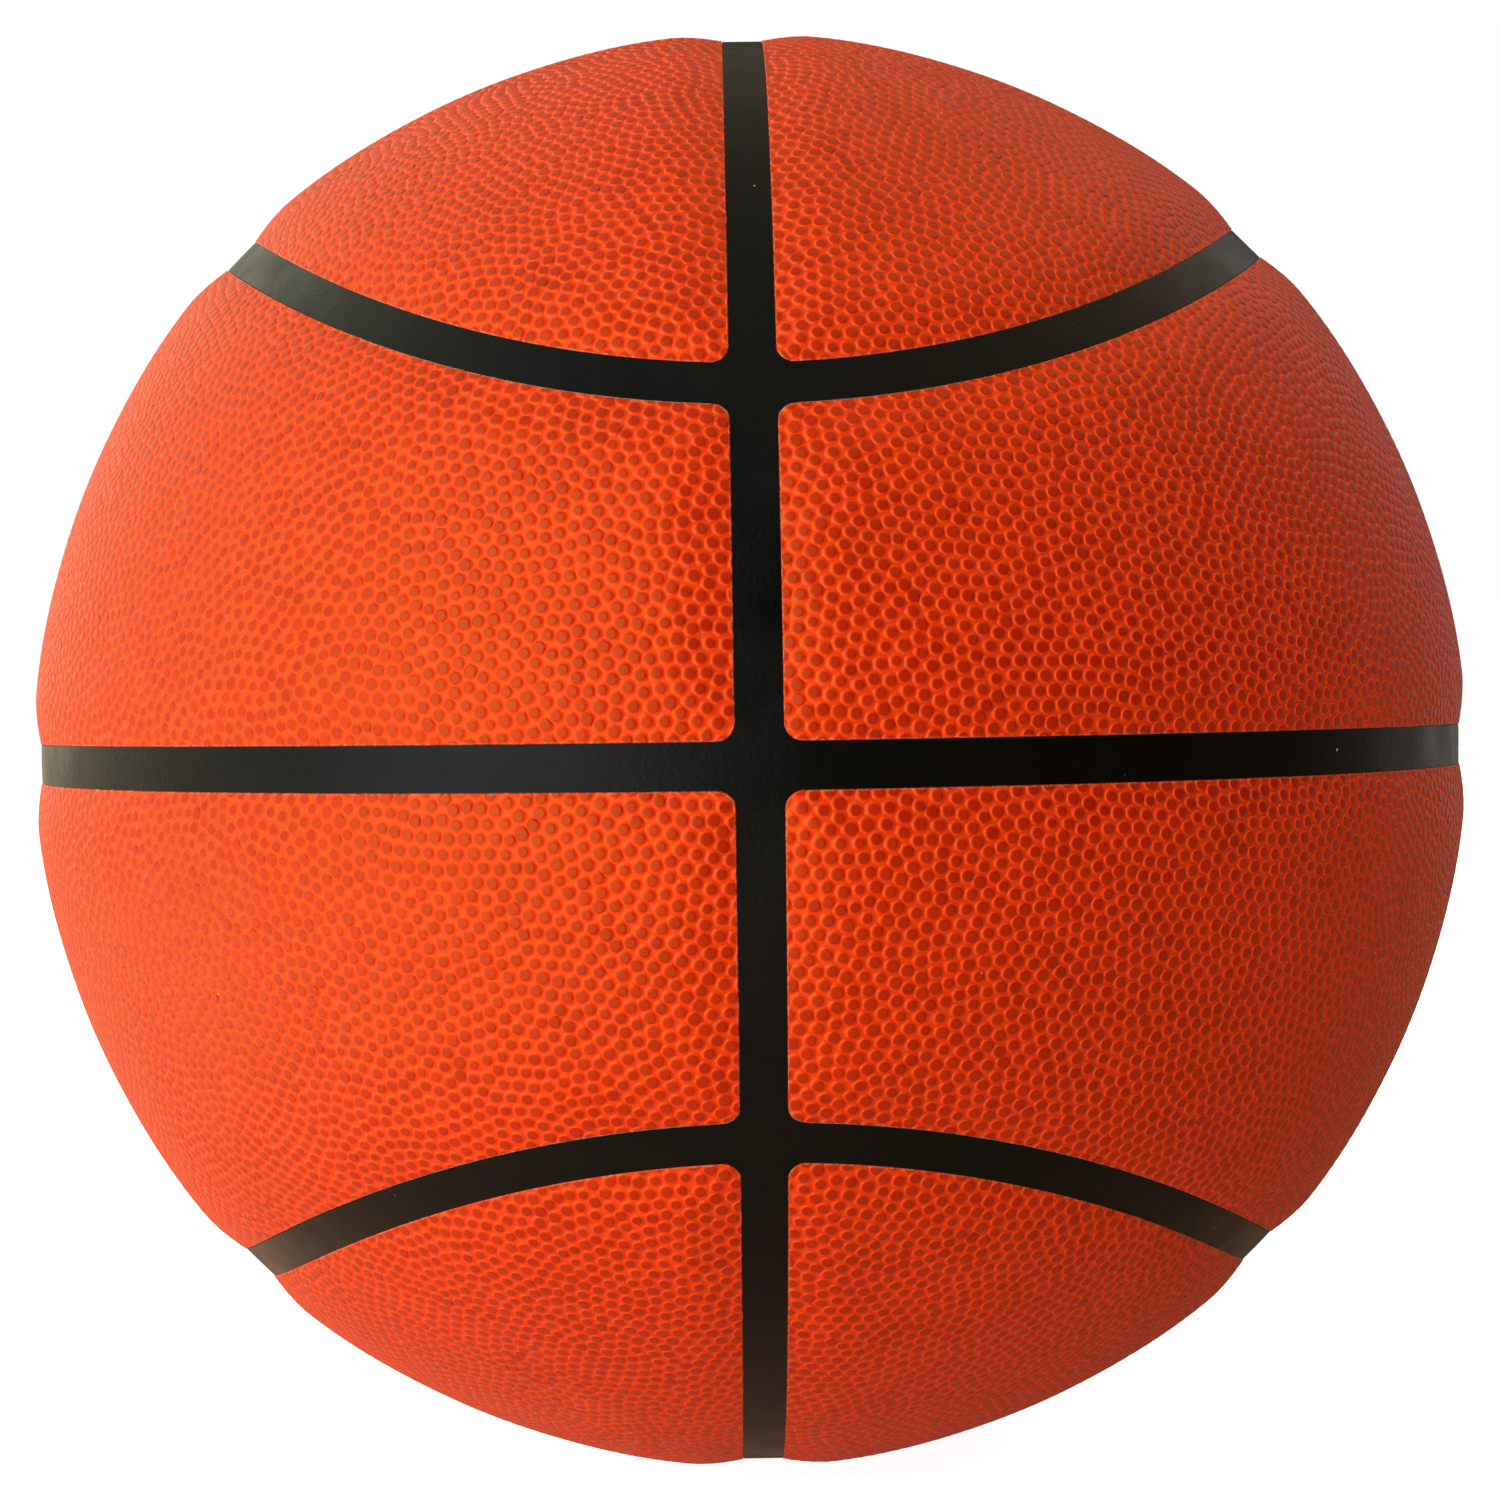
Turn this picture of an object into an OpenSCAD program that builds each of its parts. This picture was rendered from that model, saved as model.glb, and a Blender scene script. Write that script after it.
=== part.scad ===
// Size 7 basketball: an air bladder, wound with thread, inside a moulded rubber carcass. Eight cover
// panels on thin foam pads are let into the carcass, whose black ribs show as the channels between them.
// The origin is the centre of the ball. +Z is up, and the crossing of the two straight channels that
// faces the viewer lies on -Y. The second such crossing lies on +Y.

/* [Ball] */
// Radius over the crest of the cover panels
ball_r = 120.5; // [105:0.5:125]

/* [Channels] */
// Width of the channels between the panels
channel_w = 6.35; // [5:0.05:8]
// Depth of the channel floor below the crest of the panels
channel_depth = 1.2; // [0.95:0.05:1.35]
// Elevation of the curved channels at the front and the back, in degrees
front_angle = 25; // [22:1:29]
// Elevation of the curved channels at the two sides, in degrees
side_angle = 45; // [41:1:50]

/* [Cover panels] */
// Thickness of the cover material
cover_t = 1.4; // [1.25:0.05:1.9]
// Radius of the panel corners, seen from outside
corner_r = 2.7; // [1.5:0.1:5]
// Width of the rolled edge, from the crest of a panel to its rim
shoulder_w = 7; // [5:0.5:10]
// Drop of the rim below the crest of a panel
rim_drop = 0.85; // [0.5:0.05:0.9]

/* [Foam pads] */
// Thickness of the foam under each panel
pad_t = 0.8; // [0.5:0.1:1.6]
// Thickness of the glue between two layers
bond_t = 0.1; // [0.05:0.05:0.2]
// Clearance between a panel with its pad and the ribs beside it
seat_gap = 0.05; // [0.02:0.01:0.2]

/* [Carcass and bladder] */
// Thickness of the rubber under the pads
rubber_t = 0.8; // [0.5:0.1:1.6]
// Thickness of the layer of wound thread
winding_t = 0.6; // [0.3:0.1:1.2]
// Wall of the bladder
bladder_t = 0.8; // [0.5:0.1:1.6]

/* [Valve] */
// Turn of the valve from the front, towards +X, in degrees
valve_azimuth = 150; // [130:1:165]
// Elevation of the valve, in degrees
valve_elevation = 12; // [9:1:18]
// Radius of the hole that the needle goes into
needle_r = 1.05; // [0.8:0.05:1.3]
// Depth of that hole, with its mouth
needle_depth = 9; // [6:0.5:12]
// Radius of the dimple at its mouth
dimple_r = 1.8; // [1.5:0.1:2.4]
// Depth of the dimple
dimple_depth = 0.6; // [0.3:0.1:1]
// Radius of the plug's body
plug_r = 2.6; // [2:0.1:3.2]
// Radius of the plug's head, which shows in the cover
head_r = 3.6; // [3.4:0.1:4.6]
// Depth of the plug's head below the cover's face
head_recess = 0.15; // [0.05:0.05:0.4]
// Radius of the neck that holds the plug
neck_r = 5; // [4.2:0.1:6.5]
// Length of the neck inside the bladder
neck_l = 14; // [12.5:0.5:18]
// Thickness of the neck's inner end, below the plug
neck_end_t = 1.5; // [1:0.1:3]
// Radius of the air passage in that end
air_r = 1.2; // [0.8:0.1:1.6]
// Radius of the flange that bonds the neck to the bladder
flange_r = 11; // [8:0.5:16]
// Thickness of the flange
flange_t = 1.5; // [1:0.1:2.5]
// Clearance round the plug and round the neck
valve_gap = 0.05; // [0.02:0.01:0.15]

/* [Hidden] */

// Smoothness of the balls and of the small round parts
ball_fn = 180;
$fn = 64;

// Radii of the layers, from the outside in
floor_r = ball_r - channel_depth;
cover_in_r = ball_r - cover_t;
pad_r = cover_in_r - bond_t;
pad_in_r = pad_r - pad_t;
pocket_r = pad_in_r - bond_t;
rubber_in_r = pocket_r - rubber_t;
winding_r = rubber_in_r - bond_t;
winding_in_r = winding_r - winding_t;
bladder_r = winding_in_r - bond_t;
bladder_in_r = bladder_r - bladder_t;
flange_out_r = bladder_in_r - bond_t;
flange_in_r = flange_out_r - flange_t;
neck_in_r = bladder_in_r - neck_l;
head_out_r = ball_r - head_recess;
plug_in_r = neck_in_r + neck_end_t;
needle_in_r = head_out_r - needle_depth;
// How far cutting shapes run past the ball
cut_over = cover_t;
cut_r = ball_r + cut_over;

// The rolled edge is two slopes. Each starts on the crest at a share of the shoulder's width,
// and has a share of the rim's drop when it reaches the rim.
slope_start_shares = [1, 0.5];
slope_drop_shares = [0.53, 1];
// Elevation of the middle of a band panel, as a share of the curved channel's at the front
pole_share = 0.8;
// Distance from the centre of a rounded corner to the edges beside it, as a share of its radius. It is
// under 1, so that the rounding crosses both edges at every depth.
corner_share = 0.97;

// A short length along the ball, as an angle at its centre
function arc_deg(length) = length / floor_r * 180 / PI;

// A curved edge is the line where the ball meets a round column that lies along Y. The column passes
// through one elevation at the front and another at the sides: [height of its centre line, its radius].
function column(front, side, r) =
    let (low = r * sin(front), rise = r * sin(side) - low)
    let (column_r = (pow(r * cos(side), 2) + pow(rise, 2)) / (2 * rise))
    [low + column_r, column_r];

// The column of a line on the ball that keeps the given distance above the middle of the curved channel
function edge_column(offset, r) =
    column(front_angle + arc_deg(offset), side_angle + arc_deg(offset), r);

// Centre of a rounded corner beside the upright channel, at a height z, as [azimuth, elevation]
corner_x = channel_w / 2 + corner_r * corner_share;
function corner_angles(z) = [asin(corner_x / sqrt(pow(floor_r, 2) - pow(z, 2))), asin(z / floor_r)];
function corner_z(offset) =
    let (c = edge_column(offset, floor_r)) c[0] - sqrt(pow(c[1], 2) - pow(corner_x, 2));

module ball(r) {
    sphere(r = r, $fn = ball_fn);
}

module shell(outer, inner) {
    difference() {
        ball(outer);
        ball(inner);
    }
}

// A round column along Y, from column() or edge_column()
module column_solid(c) {
    translate([0, cut_r, c[0]])
        rotate([90, 0, 0])
            cylinder(r = c[1], h = 2 * cut_r, $fn = ball_fn);
}

// The stub of material outside a rounded corner, run from inside the pads to outside the ball.
// up is 1 where the corner points up, and -1 where it points down.
module corner_stub(angles, up, gap) {
    r = corner_r + gap;
    side = r + cut_over;
    rotate([90 - angles[1], 0, angles[0]])
        difference() {
            translate([-side, up > 0 ? 0 : -side, winding_in_r])
                cube([side, side, cut_r - winding_in_r]);
            translate([0, 0, bladder_in_r])
                cylinder(r = r, h = cut_r);
        }
}

// Everything inside the outline of a band panel, on the +X and +Z side. gap widens the outline.
module band_outline(gap) {
    edge = channel_w / 2 - gap;
    level = corner_angles(corner_x);
    curved = corner_angles(corner_z(-corner_x));
    difference() {
        translate([edge, -cut_r, edge])
            cube([cut_r, 2 * cut_r, cut_r]);
        column_solid(edge_column(-edge, floor_r));
        for (back = [0, 1])
            mirror([0, back, 0]) {
                corner_stub(level, -1, gap);
                corner_stub(curved, 1, gap);
            }
    }
}

// Everything inside the outline of a cap panel, on the +X and +Z side
module cap_outline(gap) {
    edge = channel_w / 2 - gap;
    curved = corner_angles(corner_z(corner_x));
    difference() {
        intersection() {
            translate([edge, -cut_r, 0])
                cube([cut_r, 2 * cut_r, cut_r]);
            column_solid(edge_column(edge, floor_r));
        }
        for (back = [0, 1])
            mirror([0, back, 0])
                corner_stub(curved, -1, gap);
    }
}

// A ball that meets the crest on the plane x = start, and lies drop below it at the rim
module straight_slope(start, drop) {
    rim = channel_w / 2;
    from = ball_r * sin((rim + start) / ball_r * 180 / PI);
    pull = (pow(ball_r, 2) - pow(ball_r - drop, 2)) / (from - rim);
    translate([pull / 2, 0, 0])
        ball(sqrt(pow(ball_r, 2) - pull * from + pow(pull / 2, 2)));
}

// A ball, squeezed along Y, that meets the crest on a line beside a curved edge and lies drop below
// it at the rim. It belongs to the family of surfaces through the line where the ball and a column meet.
// side is 1 for a cap, which lies above the channel, and -1 for a band.
module curved_slope(start, drop, side) {
    rim = side * channel_w / 2;
    c = edge_column(rim + side * start, ball_r);
    rim_r = ball_r - drop;
    rim_z = rim_r * sin(front_angle + arc_deg(rim));
    pull = (pow(ball_r, 2) - pow(rim_r, 2)) / (pow(rim_z - c[0], 2) - pow(c[1], 2));
    y_r = sqrt(pow(ball_r, 2) + pull * pow(c[1], 2) - pull * pow(c[0], 2) / (1 + pull));
    xz_r = y_r / sqrt(1 + pull);
    translate([0, 0, c[0] * pull / (1 + pull)])
        scale([xz_r, y_r, xz_r])
            ball(1);
}

// The space below the crowned outer face of a band panel, and of a cap panel
module band_crown() {
    intersection() {
        ball(ball_r);
        band_slopes(0);
        band_slopes(1);
    }
}

module band_slopes(i) {
    start = shoulder_w * slope_start_shares[i];
    drop = rim_drop * slope_drop_shares[i];
    intersection() {
        straight_slope(start, drop);
        rotate([0, -90, 0])
            mirror([0, 0, 1])
                straight_slope(start, drop);
        curved_slope(start, drop, -1);
    }
}

module cap_crown() {
    intersection() {
        ball(ball_r);
        cap_slopes(0);
        cap_slopes(1);
    }
}

module cap_slopes(i) {
    start = shoulder_w * slope_start_shares[i];
    drop = rim_drop * slope_drop_shares[i];
    intersection() {
        straight_slope(start, drop);
        curved_slope(start, drop, 1);
    }
}

// Turns a shape that points up to the valve's place
module at_valve() {
    rotate([90 - valve_elevation, 0, valve_azimuth])
        children();
}

module valve_hole(r) {
    at_valve()
        translate([0, 0, neck_in_r])
            cylinder(r = r, h = cut_r - neck_in_r);
}

// Puts a panel made on the +X and +Z side in its place. x and z are 1 or -1.
module in_place(x, z) {
    mirror([x < 0 ? 1 : 0, 0, 0])
        mirror([0, 0, z < 0 ? 1 : 0])
            children();
}

module cover_band(x, z) {
    color([0.87, 0.29, 0.1])
        difference() {
            in_place(x, z)
                difference() {
                    intersection() {
                        band_crown();
                        band_outline(0);
                    }
                    ball(cover_in_r);
                }
            valve_hole(head_r + valve_gap);
        }
}

module cover_cap(x, z) {
    color([0.87, 0.29, 0.1])
        in_place(x, z)
            difference() {
                intersection() {
                    cap_crown();
                    cap_outline(0);
                }
                ball(cover_in_r);
            }
}

module pad_band(x, z) {
    color([0.93, 0.88, 0.72])
        difference() {
            in_place(x, z)
                intersection() {
                    shell(pad_r, pad_in_r);
                    band_outline(0);
                }
            valve_hole(neck_r + valve_gap);
        }
}

module pad_cap(x, z) {
    color([0.93, 0.88, 0.72])
        in_place(x, z)
            intersection() {
                shell(pad_r, pad_in_r);
                cap_outline(0);
            }
}

// Turns the poles of a round shape into the middle of two band panels, clear of the ribs
module turn_poles() {
    rotate([0, 90 - front_angle * pole_share, 0])
        children();
}

// The network of ribs that stands between the panels, with its roots half-way into the rubber
module ribs() {
    difference() {
        turn_poles()
            shell(floor_r, (pocket_r + rubber_in_r) / 2);
        for (x = [-1, 1], z = [-1, 1])
            in_place(x, z) {
                band_outline(seat_gap);
                cap_outline(seat_gap);
            }
    }
}

// The moulded rubber shell. Each panel sits in a pocket between its ribs.
module carcass() {
    color([0.09, 0.09, 0.09])
        difference() {
            union() {
                turn_poles()
                    shell(pocket_r, rubber_in_r);
                ribs();
            }
            valve_hole(neck_r + valve_gap);
        }
}

module winding() {
    color([0.9, 0.9, 0.86])
        difference() {
            shell(winding_r, winding_in_r);
            valve_hole(neck_r + valve_gap);
        }
}

module bladder() {
    color([0.2, 0.2, 0.22])
        difference() {
            shell(bladder_r, bladder_in_r);
            valve_hole(neck_r + valve_gap);
        }
}

// The moulded neck: its flange lies inside the bladder, and its top meets the underside of the cover
module valve_neck() {
    color([0.14, 0.14, 0.15])
        difference() {
            union() {
                intersection() {
                    shell(flange_out_r, flange_in_r);
                    at_valve()
                        cylinder(r = flange_r, h = cut_r);
                }
                intersection() {
                    ball(cover_in_r);
                    valve_hole(neck_r);
                }
            }
            at_valve() {
                translate([0, 0, plug_in_r])
                    cylinder(r = plug_r + valve_gap, h = cut_r - plug_in_r);
                cylinder(r = air_r, h = cut_r);
            }
        }
}

// The soft plug that seals on the needle, with its head flush in the cover
module valve_plug() {
    color([0.06, 0.06, 0.06])
        difference() {
            union() {
                intersection() {
                    shell(head_out_r, cover_in_r);
                    at_valve()
                        cylinder(r = head_r, h = cut_r);
                }
                intersection() {
                    ball(head_out_r);
                    at_valve()
                        translate([0, 0, plug_in_r])
                            cylinder(r = plug_r, h = cut_r - plug_in_r);
                }
            }
            at_valve() {
                translate([0, 0, needle_in_r])
                    cylinder(r = needle_r, h = cut_r - needle_in_r);
                translate([0, 0, head_out_r - dimple_depth])
                    cylinder(r1 = needle_r, r2 = dimple_r, h = dimple_depth);
            }
        }
}

bladder();
valve_neck();
valve_plug();
winding();
carcass();
pad_band(-1, 1);  // pad_band_upper_left
pad_band(1, 1);  // pad_band_upper_right
pad_band(-1, -1);  // pad_band_lower_left
pad_band(1, -1);  // pad_band_lower_right
pad_cap(-1, 1);  // pad_cap_top_left
pad_cap(1, 1);  // pad_cap_top_right
pad_cap(-1, -1);  // pad_cap_bottom_left
pad_cap(1, -1);  // pad_cap_bottom_right
cover_band(-1, 1);  // cover_band_upper_left
cover_band(1, 1);  // cover_band_upper_right
cover_band(-1, -1);  // cover_band_lower_left
cover_band(1, -1);  // cover_band_lower_right
cover_cap(-1, 1);  // cover_cap_top_left
cover_cap(1, 1);  // cover_cap_top_right
cover_cap(-1, -1);  // cover_cap_bottom_left
cover_cap(1, -1);  // cover_cap_bottom_right
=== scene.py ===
# A size 7 basketball: eight pebbled cover panels, set between the black ribs of a moulded carcass.
# The ball is seen straight on to a crossing of two channels, as in the photograph.
import math

import bpy
import numpy as np
from mathutils import Matrix, Vector
from mathutils.geometry import delaunay_2d_cdt


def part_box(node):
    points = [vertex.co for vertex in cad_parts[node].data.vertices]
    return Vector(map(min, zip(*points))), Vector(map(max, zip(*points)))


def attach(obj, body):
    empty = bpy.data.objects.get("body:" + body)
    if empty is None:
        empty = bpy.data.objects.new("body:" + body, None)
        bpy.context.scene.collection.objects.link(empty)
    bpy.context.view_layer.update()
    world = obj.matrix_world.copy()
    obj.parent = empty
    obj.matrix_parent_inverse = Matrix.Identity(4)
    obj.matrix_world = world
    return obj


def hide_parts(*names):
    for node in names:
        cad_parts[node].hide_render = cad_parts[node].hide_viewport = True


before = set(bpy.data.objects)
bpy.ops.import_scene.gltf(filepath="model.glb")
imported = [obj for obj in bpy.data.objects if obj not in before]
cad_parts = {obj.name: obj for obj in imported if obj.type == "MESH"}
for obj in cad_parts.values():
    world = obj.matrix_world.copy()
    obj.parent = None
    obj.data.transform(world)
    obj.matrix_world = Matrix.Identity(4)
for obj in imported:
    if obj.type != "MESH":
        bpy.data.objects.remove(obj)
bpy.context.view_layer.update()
bpy.ops.object.select_all(action="DESELECT")

# ---------------------------------------------------------------------------------------------
# Camera. It looks at the ball from less than half a metre, so the outline that it sees lies a
# little in front of the ball's middle. The ball stood turned by under one degree to it.
scene = bpy.context.scene
floor_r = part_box("carcass")[1].x  # radius of the channels' floor, which is the ribs' face
image_side = 1500  # of the photograph, in pixels
camera_distance = 3.75 * floor_r
camera_turn = [math.radians(a) for a in (-0.99, 0.85, -0.60)]  # about X, Y and Z
focal_px = 2561
aim_px = (750.2, 750.0)  # the pixel of the ball's middle

camera_data = bpy.data.cameras.new("camera")
camera_data.sensor_width = 36
camera_data.lens = focal_px / image_side * camera_data.sensor_width
camera_data.shift_x = (image_side / 2 - aim_px[0]) / image_side
camera_data.shift_y = (aim_px[1] - image_side / 2) / image_side
camera_data.clip_start = 0.01
camera_data.clip_end = 100
camera = bpy.data.objects.new("camera", camera_data)
scene.collection.objects.link(camera)
turn = (
    Matrix.Rotation(camera_turn[2], 4, "Z")
    @ Matrix.Rotation(camera_turn[1], 4, "Y")
    @ Matrix.Rotation(camera_turn[0], 4, "X")
)
upright = Matrix.Rotation(math.radians(90), 4, "X")
camera.matrix_world = turn @ Matrix.Translation((0, -camera_distance, 0)) @ upright
scene.camera = camera

# ---------------------------------------------------------------------------------------------
# Cover panels. Each is a sheet of pebbled composite leather, cut to shape, skived round its edge
# and glued into its pocket in the carcass, so that its edge rolls down to the channel.
mm = 0.001
half_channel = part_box("cover_band_upper_right")[0].x
channel_depth = 1.2 * mm  # from a panel's crest to the channel's floor
crest_r = floor_r + channel_depth
cover_t = 1.4 * mm
rim_drop = 1.1 * mm  # the rolled edge falls by this over shoulder_w
rim_r = crest_r - rim_drop
shoulder_w = 8.1 * mm
shoulder_power = 1.6
dish_w = 26 * mm  # inside the shoulder, the face sinks by dish_depth over this
dish_depth = 0.35 * mm
corner_r = 2.7 * mm
corner_share = 0.97  # how far a corner's centre lies from each edge, of corner_r
front_angle = math.radians(25)  # height of the curved channel at the front and at the side
side_angle = math.radians(45)
cut_slope = 0.12 * mm  # the cut edge leans out by this to the outline, and past it by foot_spread
foot_spread = 0.04 * mm

pebble_pitch = 2.2 * mm
pebble_h = 0.30 * mm
pebble_share = 0.41  # radius of a pebble's flat top, of the pitch
pebble_spread = 0.07  # how much that radius varies, and the most that it does
pebble_most_spread = 0.22
pebble_edge_drop = 0.035 * mm  # the rim of the flat top lies lower than its middle
pebble_reach = 0.8  # the most that a top takes of the way to its neighbour's
least_weight = 0.15  # keeps a valley's middle well inside its three pebbles
spare_rows = 2.5  # rows of pebbles laid outside the outline, and those of them that settle
loose_rows = 1.5
jitter_share = 0.3  # how far a pebble is put out of its row at first, of the pitch
relax_rounds = 22
relax_gain = 1.5  # over one, so that the pebbles settle in fewer rounds
pebble_seed = 20
shade_seed = 7
off_pebbles = 3.0  # the pebble map's value where there are no pebbles
back_pitch = 6 * mm  # of the points on the panel's plain back

# The parts of a panel's surface. No sum of two different ones is twice a third.
flat_top, flank, cut_edge, plain_back = 0, 1, 5, 25


def curved_edge(offset):
    """Height and radius of the round column along Y that meets the ball beside the curved channel."""
    front = front_angle + offset / floor_r
    side = side_angle + offset / floor_r
    low = floor_r * math.sin(front)
    rise = floor_r * math.sin(side) - low
    radius = ((floor_r * math.cos(side)) ** 2 + rise**2) / (2 * rise)
    return low + radius, radius


def rounded(a, b):
    """Distance to the nearer of two edges, with the corner between them rounded."""
    short_a = np.clip(corner_share * corner_r - a, 0, None)
    short_b = np.clip(corner_share * corner_r - b, 0, None)
    from_corner = np.where(short_a + short_b > 0, corner_r - np.hypot(short_a, short_b), np.inf)
    return np.minimum(np.minimum(a, b), from_corner)


def band_inset(p):
    """How far points lie inside the outline of a band panel."""
    height, radius = curved_edge(-half_channel)
    upright_edge = p[:, 0] - half_channel
    level_edge = p[:, 2] - half_channel
    curve = np.hypot(p[:, 0], p[:, 2] - height) - radius
    return np.minimum(rounded(upright_edge, level_edge), rounded(upright_edge, curve))


def cap_inset(p):
    """How far points lie inside the outline of a cap panel."""
    height, radius = curved_edge(half_channel)
    upright_edge = p[:, 0] - half_channel
    curve = radius - np.hypot(p[:, 0], p[:, 2] - height)
    return rounded(upright_edge, curve)


def unit(v):
    """Rows of v at length one."""
    return v / np.linalg.norm(v, axis=1, keepdims=True)


def face_r(inset):
    """Radius of a panel's face: its rolled edge, its crest and its slightly hollow middle."""
    roll = 1 - np.clip(inset / shoulder_w, 0, 1)
    hollow = np.clip((inset - shoulder_w) / dish_w, 0, 1)
    return crest_r - rim_drop * roll**shoulder_power - dish_depth * hollow**2 * (3 - 2 * hollow)


def spiral(count):
    """So many directions, spread evenly over a ball on a spiral from pole to pole."""
    i = np.arange(count) + 0.5
    z = 1 - 2 * i / count
    azimuth = i * math.pi * (3 - math.sqrt(5))
    ring = np.sqrt(1 - z**2)
    return np.stack([ring * np.cos(azimuth), ring * np.sin(azimuth), z], 1)


def map_axes(centre):
    """Sideways and upward directions of a map round this centre."""
    side = unit(np.cross([[0, 0, 1.0]], centre[None]))[0]
    return side, np.cross(centre, side)


def flat_map(p, centre):
    """Stereographic map of directions, on which the circles of the ball stay circles."""
    side, up = map_axes(centre)
    scale = 2 / (1 + p @ centre)
    return np.stack([p @ side * scale, p @ up * scale], 1)


def round_map(flat, centre):
    """The directions that a stereographic map's points stand for."""
    side, up = map_axes(centre)
    reach = np.sum(flat**2, 1, keepdims=True) / 4
    return ((1 - reach) * centre + flat[:, :1] * side + flat[:, 1:] * up) / (1 + reach)


def triangles_between(flat):
    """Delaunay triangles of points on the map, anticlockwise."""
    found = delaunay_2d_cdt([Vector(q) for q in flat], [], [], 0, 1e-9)
    return np.array(found[2])


def circle_centres(p, tri):
    """The direction that is equally far from the three corners of each triangle."""
    a, b, c = p[tri[:, 0]], p[tri[:, 1]], p[tri[:, 2]]
    return unit(np.cross(b - a, c - a))


def pebble_centres(inset, rng):
    """Directions of the pebbles, evenly spread but in no regular rows, and the middle of the panel."""
    count = int(4 * math.pi * rim_r**2 / (pebble_pitch**2 * math.sqrt(0.75)))
    p = spiral(count)
    p = p[inset(p * rim_r) > -spare_rows * pebble_pitch]
    p = unit(p + rng.normal(0, jitter_share * pebble_pitch / rim_r, p.shape))
    middle = unit(p[inset(p * rim_r) > 0].mean(0)[None])[0]
    for _ in range(relax_rounds):
        # each pebble moves to the middle of the patch that is nearer to it than to its neighbours
        tri = triangles_between(flat_map(p, middle))
        corner = np.repeat(circle_centres(p, tri), 3, 0)
        own = tri.ravel()
        here, after, before = p[own], p[np.roll(tri, -1, 1).ravel()], p[np.roll(tri, -2, 1).ravel()]
        total = np.zeros_like(p)
        for side, sign in (((here + after) / 2, 1), ((here + before) / 2, -1)):
            area = sign * np.sum(here * np.cross(side - here, corner - here), 1)
            weighted = area[:, None] * (here + side + corner)
            total += np.stack([np.bincount(own, weighted[:, k], len(p)) for k in range(3)], 1)
        free = inset(p * rim_r) > -loose_rows * pebble_pitch
        p[free] = unit(p[free] + relax_gain * (unit(total[free]) - p[free]))
    return p, middle


def pebble_sheet(inset, rng):
    """A sheet of pebbles that covers a panel and more.

    Its points and triangles, the pebble and the part that each triangle belongs to, the pebbles'
    tops and radii, and the middle of the panel.
    """
    p, middle = pebble_centres(inset, rng)
    tri = triangles_between(flat_map(p, middle))
    # the middle of the valley between three pebbles: equally far from them, but inside their triangle
    opposite = np.sum((p[np.roll(tri, -1, 1)] - p[np.roll(tri, -2, 1)]) ** 2, 2)
    weight = opposite * (opposite.sum(1, keepdims=True) - 2 * opposite)
    weight = np.maximum(weight / weight.sum(1, keepdims=True), least_weight)
    corner = unit(np.sum(weight[:, :, None] * p[tri], 1))
    n, t = len(p), len(tri)
    start, end, third = tri.ravel(), np.roll(tri, -1, 1).ravel(), np.roll(tri, -2, 1).ravel()
    key = start * n + end
    order = np.argsort(key)

    def edge_at(wanted):
        """The edge with this key, and whether there is one."""
        place = np.clip(np.searchsorted(key[order], wanted), 0, len(key) - 1)
        return order[place], key[order[place]] == wanted

    next_edge, whole = edge_at(start * n + third)
    twin, paired = edge_at(end * n + start)
    spread = rng.normal(0, pebble_spread, n).clip(-pebble_most_spread, pebble_most_spread)
    radius = pebble_share * pebble_pitch * (1 + spread)

    def on_ring(target):
        """Points on the rims of the flat tops, in the direction of the targets."""
        away = target - p[start]
        away -= np.sum(away * p[start], 1, keepdims=True) * p[start]
        reach = np.linalg.norm(away, axis=1) * rim_r
        length = np.minimum(radius[start], pebble_reach * reach)
        return unit(p[start] + unit(away) * (length / rim_r)[:, None])

    triangle = np.repeat(np.arange(t), 3)
    toward_next = on_ring((p[start] + p[end]) / 2)
    toward_corner = on_ring(corner[triangle])
    top = p * face_r(inset(p * rim_r))[:, None]
    ring_a = toward_next * (face_r(inset(toward_next * rim_r)) - pebble_edge_drop)[:, None]
    ring_b = toward_corner * (face_r(inset(toward_corner * rim_r)) - pebble_edge_drop)[:, None]
    valley = corner * (face_r(inset(corner * rim_r)) - pebble_h)[:, None]
    points = np.concatenate([top, ring_a, ring_b, valley])
    half_edge = np.arange(3 * t)
    a, b, v = n + half_edge, n + 3 * t + half_edge, n + 6 * t + triangle
    a_next = n + next_edge
    # two families of triangles for the flat tops, two for their flanks, one between two valleys
    faces = [
        np.stack([start, a, b], 1)[whole],
        np.stack([start, b, a_next], 1)[whole],
        np.stack([a, v, b], 1)[whole],
        np.stack([b, v, a_next], 1)[whole],
        np.stack([a, n + 6 * t + twin // 3, v], 1)[paired],
    ]
    owner = np.concatenate([start[whole]] * 4 + [start[paired]])
    parts = (flat_top, flat_top, flank, flank, flank)
    part = np.concatenate([np.full(len(f), k) for k, f in zip(parts, faces)])
    return points, np.concatenate(faces), owner, part, top, radius, middle


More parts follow.
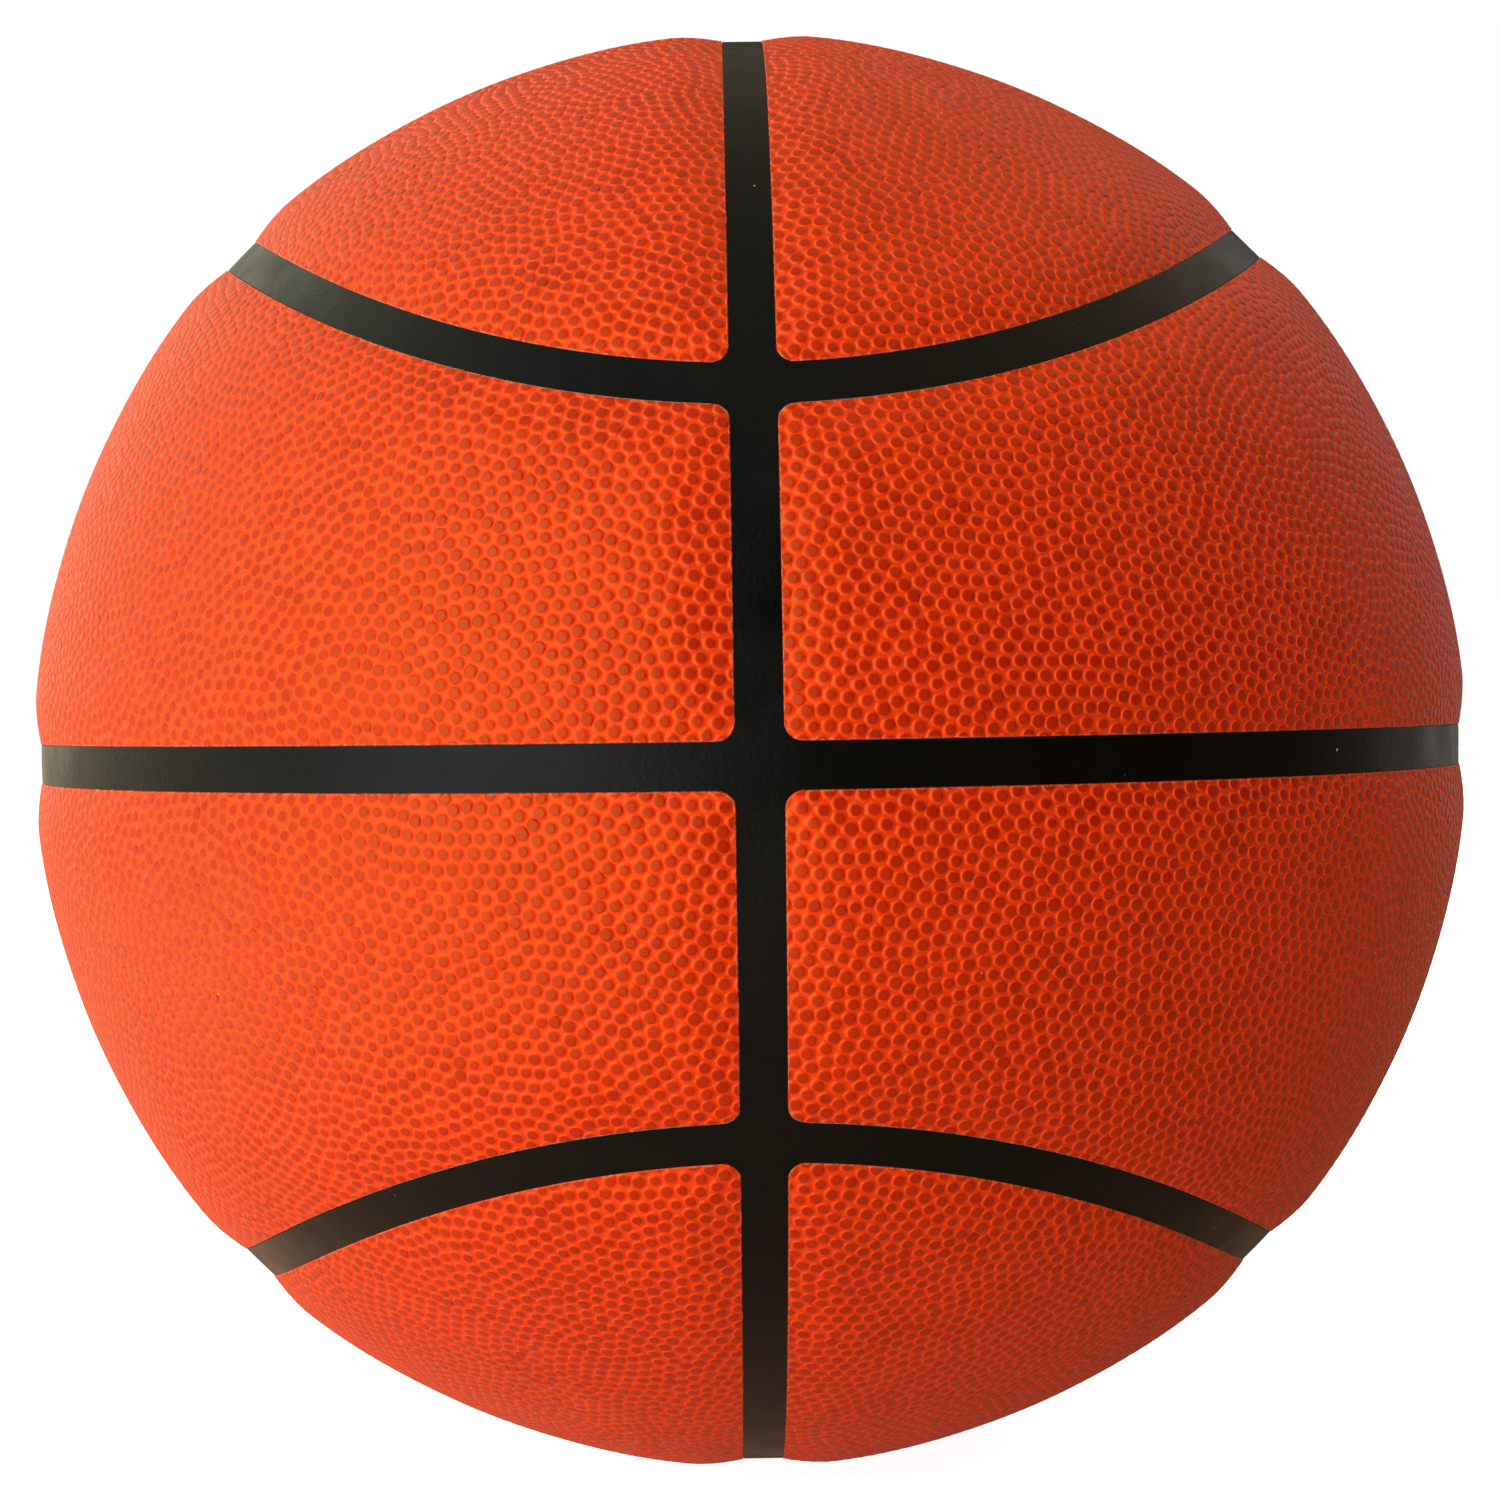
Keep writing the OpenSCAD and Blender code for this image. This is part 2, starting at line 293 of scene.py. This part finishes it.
def trim(points, faces, keep, *of_faces):
    """Cuts a sheet along the line where keep, a value at each point, is zero."""
    inside = keep > 0
    count = inside[faces].sum(1)
    mixed = (count == 1) | (count == 2)
    cut, lone = faces[mixed], count[mixed] == 1
    odd = np.argmax(inside[cut] == lone[:, None], 1)
    turned = cut[np.arange(len(cut))[:, None], (odd[:, None] + np.arange(3)) % 3]
    a, b, c = turned.T
    pairs = np.sort(np.concatenate([np.stack([a, b], 1), np.stack([a, c], 1)]), 1)
    edges, index = np.unique(pairs, axis=0, return_inverse=True)
    index = index.ravel() + len(points)
    low, high = keep[edges[:, 0]], keep[edges[:, 1]]
    share = (low / (low - high))[:, None]
    added = points[edges[:, 0]] * (1 - share) + points[edges[:, 1]] * share
    ab, ac = index[: len(cut)], index[len(cut) :]
    faces = np.concatenate(
        [
            faces[count == 3],
            np.stack([a, ab, ac], 1)[lone],
            np.stack([ab, b, c], 1)[~lone],
            np.stack([ab, c, ac], 1)[~lone],
        ]
    )
    of_faces = [
        np.concatenate([v[count == 3], v[mixed][lone], v[mixed][~lone], v[mixed][~lone]])
        for v in of_faces
    ]
    used, faces = np.unique(faces, return_inverse=True)
    return np.concatenate([points, added])[used], faces.reshape(-1, 3), *of_faces


def border(faces):
    """The directed edges of a sheet that have a face on one side only."""
    edges = np.concatenate([faces[:, [0, 1]], faces[:, [1, 2]], faces[:, [2, 0]]])
    key = edges[:, 0] * (faces.max() + 1) + edges[:, 1]
    back = edges[:, 1] * (faces.max() + 1) + edges[:, 0]
    return edges[~np.isin(key, back)]


def slope_of(inset, p):
    """Direction in which the inset grows, at each point."""
    step = 0.01 * mm
    grad = np.stack([inset(p + step * axis) - inset(p - step * axis) for axis in np.eye(3)], 1)
    grad -= np.sum(grad * p, 1, keepdims=True) * p / np.sum(p * p, 1, keepdims=True)
    return unit(grad)


def panel_mesh(name, sheet, inset):
    """A closed panel: the pebbled face, its cut edge and its plain back."""
    points, faces, owner, part, top, radius, middle = sheet
    # the face ends inside the outline, and its cut edge leans out to a foot on the back
    at_rim = unit(points) * rim_r
    points, faces, owner, part = trim(points, faces, inset(at_rim) - cut_slope, owner, part)
    edge = border(faces)
    rim = np.unique(edge)
    back_r = crest_r - cover_t
    foot = unit(points[rim]) * rim_r
    foot = unit(foot - slope_of(inset, foot) * (cut_slope + foot_spread)) * back_r
    new_index = np.full(len(points), -1)
    new_index[rim] = np.arange(len(rim)) + len(points)
    wall = np.concatenate(
        [
            np.stack([edge[:, 1], edge[:, 0], new_index[edge[:, 0]]], 1),
            np.stack([edge[:, 1], new_index[edge[:, 0]], new_index[edge[:, 1]]], 1),
        ]
    )
    # the back: the foot of the cut edge, and a coarse net of points within it
    net = spiral(int(4 * math.pi * back_r**2 / back_pitch**2))
    net = net[inset(net * rim_r) > back_pitch / 2]
    flat = flat_map(np.concatenate([unit(foot), net]), middle)
    foot_edges = new_index[edge] - len(points)
    found = delaunay_2d_cdt([Vector(q) for q in flat], foot_edges.tolist(), [], 0, 1e-9)
    lower = np.concatenate([foot, net * back_r])
    index = np.array([o[0] if o else -1 for o in found[3]])
    crossings = [q for q, o in zip(found[0], found[3]) if not o]
    if crossings:
        index[index < 0] = np.arange(len(crossings)) + len(lower)
        lower = np.concatenate([lower, round_map(np.array(crossings), middle) * back_r])
    back = index[np.array(found[2])]
    centre = unit(lower[back].mean(1))
    back = back[inset(centre * rim_r) > 0][:, ::-1] + len(points)
    all_points = np.concatenate([points, lower])
    all_faces = np.concatenate([faces, wall, back])
    mesh = bpy.data.meshes.new(name)
    mesh.from_pydata(all_points.tolist(), [], all_faces.tolist())
    # the place of each corner of the face, measured from the middle of its pebble, in pebble radii
    up = unit(top)[owner]
    east = unit(np.cross([[0, 0, 1.0]], up))
    north = np.cross(up, east)
    off = points[faces] - top[owner][:, None]
    u = np.einsum("fck,fk->fc", off, east) / radius[owner][:, None]
    v = np.einsum("fck,fk->fc", off, north) / radius[owner][:, None]
    uv = np.full((len(all_faces), 3, 2), off_pebbles)
    uv[: len(faces)] = np.stack([u, v], 2)
    layer = mesh.uv_layers.new(name="pebble")
    layer.data.foreach_set("uv", uv.ravel().astype(np.float32))
    # a shade for each pebble, and the inset in millimetres
    shade = np.random.default_rng(shade_seed).random(len(top))
    tone = np.full(len(all_faces), 0.5)
    tone[: len(faces)] = shade[owner]
    mesh.attributes.new("tone", "FLOAT", "FACE").data.foreach_set("value", tone.astype(np.float32))
    inset_m = np.full(len(all_points), -mm)
    inset_m[: len(points)] = inset(unit(points) * rim_r)
    inset_mm = inset_m.astype(np.float32) * 1000
    mesh.attributes.new("inset", "FLOAT", "POINT").data.foreach_set("value", inset_mm)
    # a crisp edge wherever two parts meet
    mesh.shade_smooth()
    part = np.concatenate([part, np.full(len(wall), cut_edge), np.full(len(back), plain_back)])
    edge_of = np.zeros(len(mesh.loops), np.int32)
    mesh.loops.foreach_get("edge_index", edge_of)
    both = np.bincount(edge_of, np.repeat(part, 3), len(mesh.edges))
    sharp = ~np.isin(both, [2 * k for k in (flat_top, flank, cut_edge, plain_back)])
    mesh.attributes.new("sharp_edge", "BOOLEAN", "EDGE").data.foreach_set("value", sharp)
    return mesh


# One band panel, at the back, has a round hole for the valve.
valve_azimuth, valve_elevation = math.radians(150), math.radians(12)
valve_axis = np.array(
    [
        math.cos(valve_elevation) * math.sin(valve_azimuth),
        -math.cos(valve_elevation) * math.cos(valve_azimuth),
        math.sin(valve_elevation),
    ]
)
valve_hole_r = 3.65 * mm


def holed_band_inset(p):
    """Inset of the band panel that has the valve's hole in it."""
    along = p @ valve_axis
    aside = np.linalg.norm(p - along[:, None] * valve_axis, axis=1)
    return np.where(along > 0, np.minimum(band_inset(p), aside - valve_hole_r), band_inset(p))


def node(tree, kind, inputs=None, **options):
    """Adds a shader node, and sets or links its inputs."""
    made = tree.nodes.new("ShaderNode" + kind)
    for name, value in options.items():
        setattr(made, name, value)
    for name, value in (inputs or {}).items():
        if isinstance(value, bpy.types.NodeSocket):
            tree.links.new(value, made.inputs[name])
        else:
            made.inputs[name].default_value = value
    return made


def material(name):
    """A new material: itself, its node tree and its shader."""
    made = bpy.data.materials.new(name)
    made.use_nodes = True
    return made, made.node_tree, made.node_tree.nodes["Principled BSDF"]


def group(name, inputs, outputs):
    """A new shader node group: its tree, and the sockets inside it for its inputs and outputs."""
    tree = bpy.data.node_groups.new(name, "ShaderNodeTree")
    for socket, kind, value in inputs:
        made = tree.interface.new_socket(socket, in_out="INPUT", socket_type="NodeSocket" + kind)
        if value is not None:
            made.default_value = value
    for socket, kind in outputs:
        tree.interface.new_socket(socket, in_out="OUTPUT", socket_type="NodeSocket" + kind)
    return tree, tree.nodes.new("NodeGroupInput").outputs, tree.nodes.new("NodeGroupOutput").inputs


def ramp(tree, value, from_min, from_max, to_min=0.0, to_max=1.0, kind="LINEAR"):
    """A value, brought from one range to another and held inside it."""
    made = node(
        tree,
        "MapRange",
        {"Value": value, "From Min": from_min, "From Max": from_max, "To Min": to_min, "To Max": to_max},
        interpolation_type=kind,
    )
    return made.outputs[0]


def maths(tree, operation, *values):
    """The result of a Math node on up to three values."""
    return node(tree, "Math", dict(enumerate(values)), operation=operation).outputs[0]


def tinted(tree, share, plain, full):
    """A colour between plain, at a share of nought, and full, at one."""
    inputs = {"Factor": share, "A": plain, "B": full}
    return node(tree, "Mix", inputs, data_type="RGBA").outputs["Result"]


def noise(tree, scale, detail, roughness=0.5):
    """Noise in the object's own space."""
    spot = node(tree, "TexCoord").outputs["Object"]
    inputs = {"Vector": spot, "Scale": scale, "Detail": detail, "Roughness": roughness}
    return node(tree, "TexNoise", inputs).outputs["Fac"]


def raised(tree, shader, height, strength, distance):
    """Gives a shader a fine relief."""
    bump = node(tree, "Bump", {"Height": height, "Strength": strength, "Distance": distance})
    tree.links.new(bump.outputs["Normal"], shader.inputs["Normal"])


# Dust: a few pale specks on a colour, and a soft unevenness under them.
dust, given, result = group(
    "dust",
    [("Color", "Color", None), ("Unevenness", "Float", 0.1), ("Specks", "Float", 0.1)],
    [("Color", "Color"), ("Cloud", "Float")],
)
speck_colour = (0.75, 0.68, 0.6, 1)
cloud = noise(dust, 90.0, 5.0, 0.6)
swing = ramp(dust, cloud, 0.3, 0.7, -1.0, 1.0)
gain = maths(dust, "MULTIPLY_ADD", swing, given["Unevenness"], 1.0)
varied = node(dust, "VectorMath", {0: given["Color"], "Scale": gain}, operation="SCALE").outputs[0]
spot = node(dust, "TexCoord").outputs["Object"]
cells = node(dust, "TexVoronoi", {"Vector": spot, "Scale": 210.0}).outputs
pick = node(dust, "SeparateColor", {"Color": cells["Color"]}).outputs
chosen = maths(dust, "LESS_THAN", pick[0], given["Specks"])
speck_r = maths(dust, "MULTIPLY_ADD", pick[1], 0.03, 0.018)
near = maths(dust, "LESS_THAN", cells["Distance"], speck_r)
pale = tinted(dust, maths(dust, "MULTIPLY", chosen, near), varied, speck_colour)
dust.links.new(pale, result["Color"])
dust.links.new(cloud, result["Cloud"])


def dust_on(tree, shader, colour, unevenness, specks):
    """Colours a shader through the dust, and gives the cloud of its unevenness."""
    inputs = {"Color": colour, "Unevenness": unevenness, "Specks": specks}
    dusty = node(tree, "Group", inputs, node_tree=dust)
    tree.links.new(dusty.outputs["Color"], shader.inputs["Base Color"])
    return dusty.outputs["Cloud"]


# The leather: each pebble has a dark flat top, and the net of valleys between them is brighter.
cover, tree, shader = material("pebbled_leather")
net_colour = (0.93, 0.051, 0.006, 1)
top_colour = (0.46, 0.0085, 0.0008, 1)
fibre_colour = (0.7, 0.3, 0.17, 1)
pebble = node(tree, "UVMap", uv_map="pebble").outputs["UV"]
off_middle = node(tree, "VectorMath", {0: pebble}, operation="LENGTH").outputs["Value"]
top_mask = ramp(tree, off_middle, 0.76, 0.96, 1.0, 0.0, "SMOOTHSTEP")
dome = ramp(tree, off_middle, 0.6, 1.1, 1.0, 0.0, "SMOOTHSTEP")
tone = node(tree, "Attribute", attribute_name="tone").outputs["Fac"]
depth = ramp(tree, tone, 0.0, 1.0, 0.8, 1.0)
dyed = tinted(tree, maths(tree, "MULTIPLY", top_mask, depth), net_colour, top_colour)
# undyed fibre shows in places along the cut rim, a quarter of a millimetre wide
inset_mm = node(tree, "Attribute", attribute_name="inset").outputs["Fac"]
at_cut = ramp(tree, inset_mm, 0.1, 0.28, 1.0, 0.0)
broken = ramp(tree, noise(tree, 1500.0, 2.0), 0.42, 0.62, 0.0, 0.7)
edged = tinted(tree, maths(tree, "MULTIPLY", at_cut, broken), dyed, fibre_colour)
dust_on(tree, shader, edged, 0.06, 0.02)
relief = maths(tree, "MULTIPLY_ADD", noise(tree, 3500.0, 2.0), 0.12, dome)
raised(tree, shader, relief, 1.0, 0.13 * mm)
shader.inputs["Roughness"].default_value = 0.4
shader.inputs["Specular IOR Level"].default_value = 0.45
shader.inputs["Specular Tint"].default_value = (1, 0.95, 0.22, 1)
shader.inputs["Sheen Weight"].default_value = 0.03
shader.inputs["Sheen Roughness"].default_value = 0.35

# Both kinds of panel are made at the upper right, and turned half round for the other places.
half_turns = {"upper_right": None, "lower_left": "Y", "lower_right": "X", "upper_left": "Z"}
rng = np.random.default_rng(pebble_seed)
band_sheet = pebble_sheet(band_inset, rng)
cap_sheet = pebble_sheet(cap_inset, rng)
band_master = panel_mesh("band", band_sheet, band_inset)
cap_master = panel_mesh("cap", cap_sheet, cap_inset)
for place, axis in half_turns.items():
    cap_place = place.replace("upper", "top").replace("lower", "bottom")
    for kind, where, master in (("band", place, band_master), ("cap", cap_place, cap_master)):
        if kind == "band" and place == "upper_right":
            mesh = panel_mesh("band_valve", band_sheet, holed_band_inset)
        else:
            mesh = master.copy()
        if axis:
            mesh.transform(Matrix.Rotation(math.pi, 4, axis))
        panel = bpy.data.objects.new("panel_" + kind + "_" + where, mesh)
        scene.collection.objects.link(panel)
        mesh.materials.append(cover)
        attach(panel, "root")
        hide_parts("cover_" + kind + "_" + where)
bpy.data.meshes.remove(band_master)
bpy.data.meshes.remove(cap_master)

# ---------------------------------------------------------------------------------------------
# Carcass. Black rubber, moulded over the winding, with a raised rib where each channel is to be.
# The ribs' faces are the floor of the channels. They are smooth, and a little duller in places.
rubber, tree, shader = material("channel_rubber")
cloud = dust_on(tree, shader, (0.001, 0.001, 0.0008, 1), 0.5, 0.25)
tree.links.new(ramp(tree, cloud, 0.35, 0.65, 0.32, 0.44), shader.inputs["Roughness"])
shader.inputs["Specular IOR Level"].default_value = 0.165
shader.inputs["Specular Tint"].default_value = (0.82, 0.95, 1, 1)
raised(tree, shader, noise(tree, 1400.0, 4.0), 0.6, 0.1 * mm)


def dress(name, finish):
    """Gives a piece of the CAD frame its material."""
    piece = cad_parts[name]
    piece.data.materials.clear()
    piece.data.materials.append(finish)


dress("carcass", rubber)

# ---------------------------------------------------------------------------------------------
# Valve. A soft rubber plug with a dimple for the needle, in a neck that is bonded to the bladder.
# Both are moulded, and a little greyer than the carcass.
valve_rubber, tree, shader = material("valve_rubber")
dust_on(tree, shader, (0.012, 0.012, 0.012, 1), 0.4, 0.3)
raised(tree, shader, noise(tree, 4000.0, 2.0), 0.4, 0.05 * mm)
shader.inputs["Roughness"].default_value = 0.55
shader.inputs["Specular IOR Level"].default_value = 0.3
dress("valve_plug", valve_rubber)
dress("valve_neck", valve_rubber)

# ---------------------------------------------------------------------------------------------
# Pads. Thin closed-cell foam, cut like the panel in front of it and glued to its back. It is
# cream, and its cells are under half a millimetre wide.
foam, tree, shader = material("closed_cell_foam")
spot = node(tree, "TexCoord").outputs["Object"]
cells = node(tree, "TexVoronoi", {"Vector": spot, "Scale": 2200.0}).outputs
shade = ramp(tree, cells["Distance"], 0.0, 0.7)
cream = tinted(tree, shade, (0.62, 0.5, 0.27, 1), (0.85, 0.74, 0.48, 1))
tree.links.new(cream, shader.inputs["Base Color"])
raised(tree, shader, shade, 0.5, 0.1 * mm)
shader.inputs["Roughness"].default_value = 0.9
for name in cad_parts:
    if name.startswith("pad_"):
        dress(name, foam)

# ---------------------------------------------------------------------------------------------
# Winding. Nylon thread, wound over the bladder round many axes, one layer across another. Four
# layers of strands, each tilted its own way, stand for all of them.
thread, tree, shader = material("wound_thread")
spot = node(tree, "TexCoord").outputs["Object"]
tilts = ((0.3, 0.2, 0.1), (1.2, 0.4, 0.9), (0.7, 1.9, 0.3), (2.2, 1.1, 1.6))
layers = None
for tilt in tilts:
    turned = node(tree, "Mapping", {"Vector": spot, "Rotation": tilt}, vector_type="POINT").outputs[0]
    inputs = {"Vector": turned, "Scale": 300.0, "Distortion": 1.5, "Detail": 2.0}
    wave = node(tree, "TexWave", inputs).outputs["Fac"]
    layers = wave if layers is None else maths(tree, "MAXIMUM", layers, wave)
strand = ramp(tree, layers, 0.6, 1.0)
nylon = tinted(tree, strand, (0.35, 0.33, 0.28, 1), (0.82, 0.8, 0.74, 1))
tree.links.new(nylon, shader.inputs["Base Color"])
raised(tree, shader, strand, 0.8, 0.3 * mm)
shader.inputs["Roughness"].default_value = 0.45
dress("winding", thread)

# ---------------------------------------------------------------------------------------------
# Bladder. Butyl rubber, moulded as a hollow ball and dusted with talc so that it didn't stick to
# its mould.
butyl, tree, shader = material("butyl_rubber")
talc = noise(tree, 60.0, 6.0, 0.7)
dusted = tinted(tree, ramp(tree, talc, 0.45, 0.7), (0.012, 0.012, 0.013, 1), (0.06, 0.06, 0.058, 1))
tree.links.new(dusted, shader.inputs["Base Color"])
tree.links.new(ramp(tree, talc, 0.4, 0.7, 0.4, 0.7), shader.inputs["Roughness"])
dress("bladder", butyl)

# ---------------------------------------------------------------------------------------------
# Studio. A white floor that glows a little at the left, a large softbox at the front left, a weak
# lamp lying low at the left and a weak one behind at the right. The world stands for a pale wall
# and ceiling. Floor and world are pure white to the camera only, so that the lights stay plain.
# To all other rays the floor's glow is a painted pool of lamplight, and its orange tint is a
# painted bounce of light from the ball.
floor_gap = 0.2 * mm  # below the panels' crests
floor_z = -(crest_r + floor_gap)
pure_white = (1, 1, 1, 1)
painted_bounce_colour = (0.5, 0.35, 0.24, 1)
wall_tint, ceiling_tint = (1, 0.97, 0.72, 1), (1, 0.72, 0.45, 1)

bpy.ops.mesh.primitive_plane_add(size=12, location=(0, 0, floor_z))
floor = bpy.context.object
floor.name = "floor"
white, tree, shader = material("studio_white_with_painted_light")
shader.inputs["Roughness"].default_value = 0.9
seen = node(tree, "LightPath").outputs["Is Camera Ray"]
# White to the camera. To all other rays the floor is orange in its colour and its glow, a painted bounce
# of light from the ball.
white_or_painted_bounce = tinted(tree, seen, painted_bounce_colour, pure_white)
across = node(tree, "SeparateXYZ", {0: node(tree, "TexCoord").outputs["Object"]}).outputs["X"]
# To all other rays the floor glows at the left and less to the right: a painted pool of lamplight, which
# lights the ball from below.
painted_pool = ramp(tree, across, 0.22, -0.25, 0.0, 1.3, "SMOOTHSTEP")
glow = node(tree, "Mix", {"Factor": seen, "A": painted_pool, "B": 0.93}).outputs["Result"]
tree.links.new(white_or_painted_bounce, shader.inputs["Base Color"])
tree.links.new(white_or_painted_bounce, shader.inputs["Emission Color"])
tree.links.new(glow, shader.inputs["Emission Strength"])
floor.data.materials.append(white)

world = bpy.data.worlds.new("studio")
scene.world = world
world.use_nodes = True
tree = world.node_tree
background = tree.nodes["Background"]
toward = node(tree, "SeparateXYZ", {0: node(tree, "TexCoord").outputs["Generated"]}).outputs
leftward = ramp(tree, toward["X"], 0.0, -0.6, 0.0, 1.0, "SMOOTHSTEP")
behind = ramp(tree, toward["Y"], -1.0, 0.4, 0.0, 1.4, "SMOOTHSTEP")
wall = maths(tree, "MULTIPLY_ADD", leftward, behind, 0.02)
upward = ramp(tree, toward["Z"], 0.3, 0.9, 0.0, 0.95, "SMOOTHSTEP")
rightward = ramp(tree, toward["X"], -0.5, 0.5, 0.0, 1.0, "SMOOTHSTEP")
level = maths(tree, "MULTIPLY_ADD", upward, rightward, wall)
seen = node(tree, "LightPath").outputs["Is Camera Ray"]
tint = tinted(tree, rightward, wall_tint, ceiling_tint)
strength = node(tree, "Mix", {"Factor": seen, "A": level, "B": 1.0}).outputs["Result"]
tree.links.new(tinted(tree, seen, tint, pure_white), background.inputs["Color"])
tree.links.new(strength, background.inputs["Strength"])


def softbox(name, size, power, azimuth, elevation, distance):
    """An area lamp that faces the ball: size in metres, power in watts, angles in degrees."""
    light = bpy.data.lights.new(name, "AREA")
    light.shape = "RECTANGLE"
    light.size, light.size_y = size
    light.energy = power
    lamp = bpy.data.objects.new(name, light)
    scene.collection.objects.link(lamp)
    a, e = math.radians(azimuth), math.radians(elevation)
    away = Vector((math.sin(a) * math.cos(e), -math.cos(a) * math.cos(e), math.sin(e)))
    lamp.location = away * distance
    lamp.rotation_euler = away.to_track_quat("Z", "Y").to_euler()
    return lamp


softbox("key", (0.9, 1.72), 12.6, -36.5, 3, 1.1)
# the low lamp lies face up, just above the floor
low_azimuth = -54
low = softbox("low", (0.6, 0.86), 1.7, low_azimuth, 0, 0.62)
low.location.z = floor_z + 10 * mm
low.rotation_euler = (math.pi, 0, math.radians(low_azimuth))
softbox("rear", (0.9, 1.3), 1.4, 128, 12, 1.1)

scene.view_settings.view_transform = "Standard"
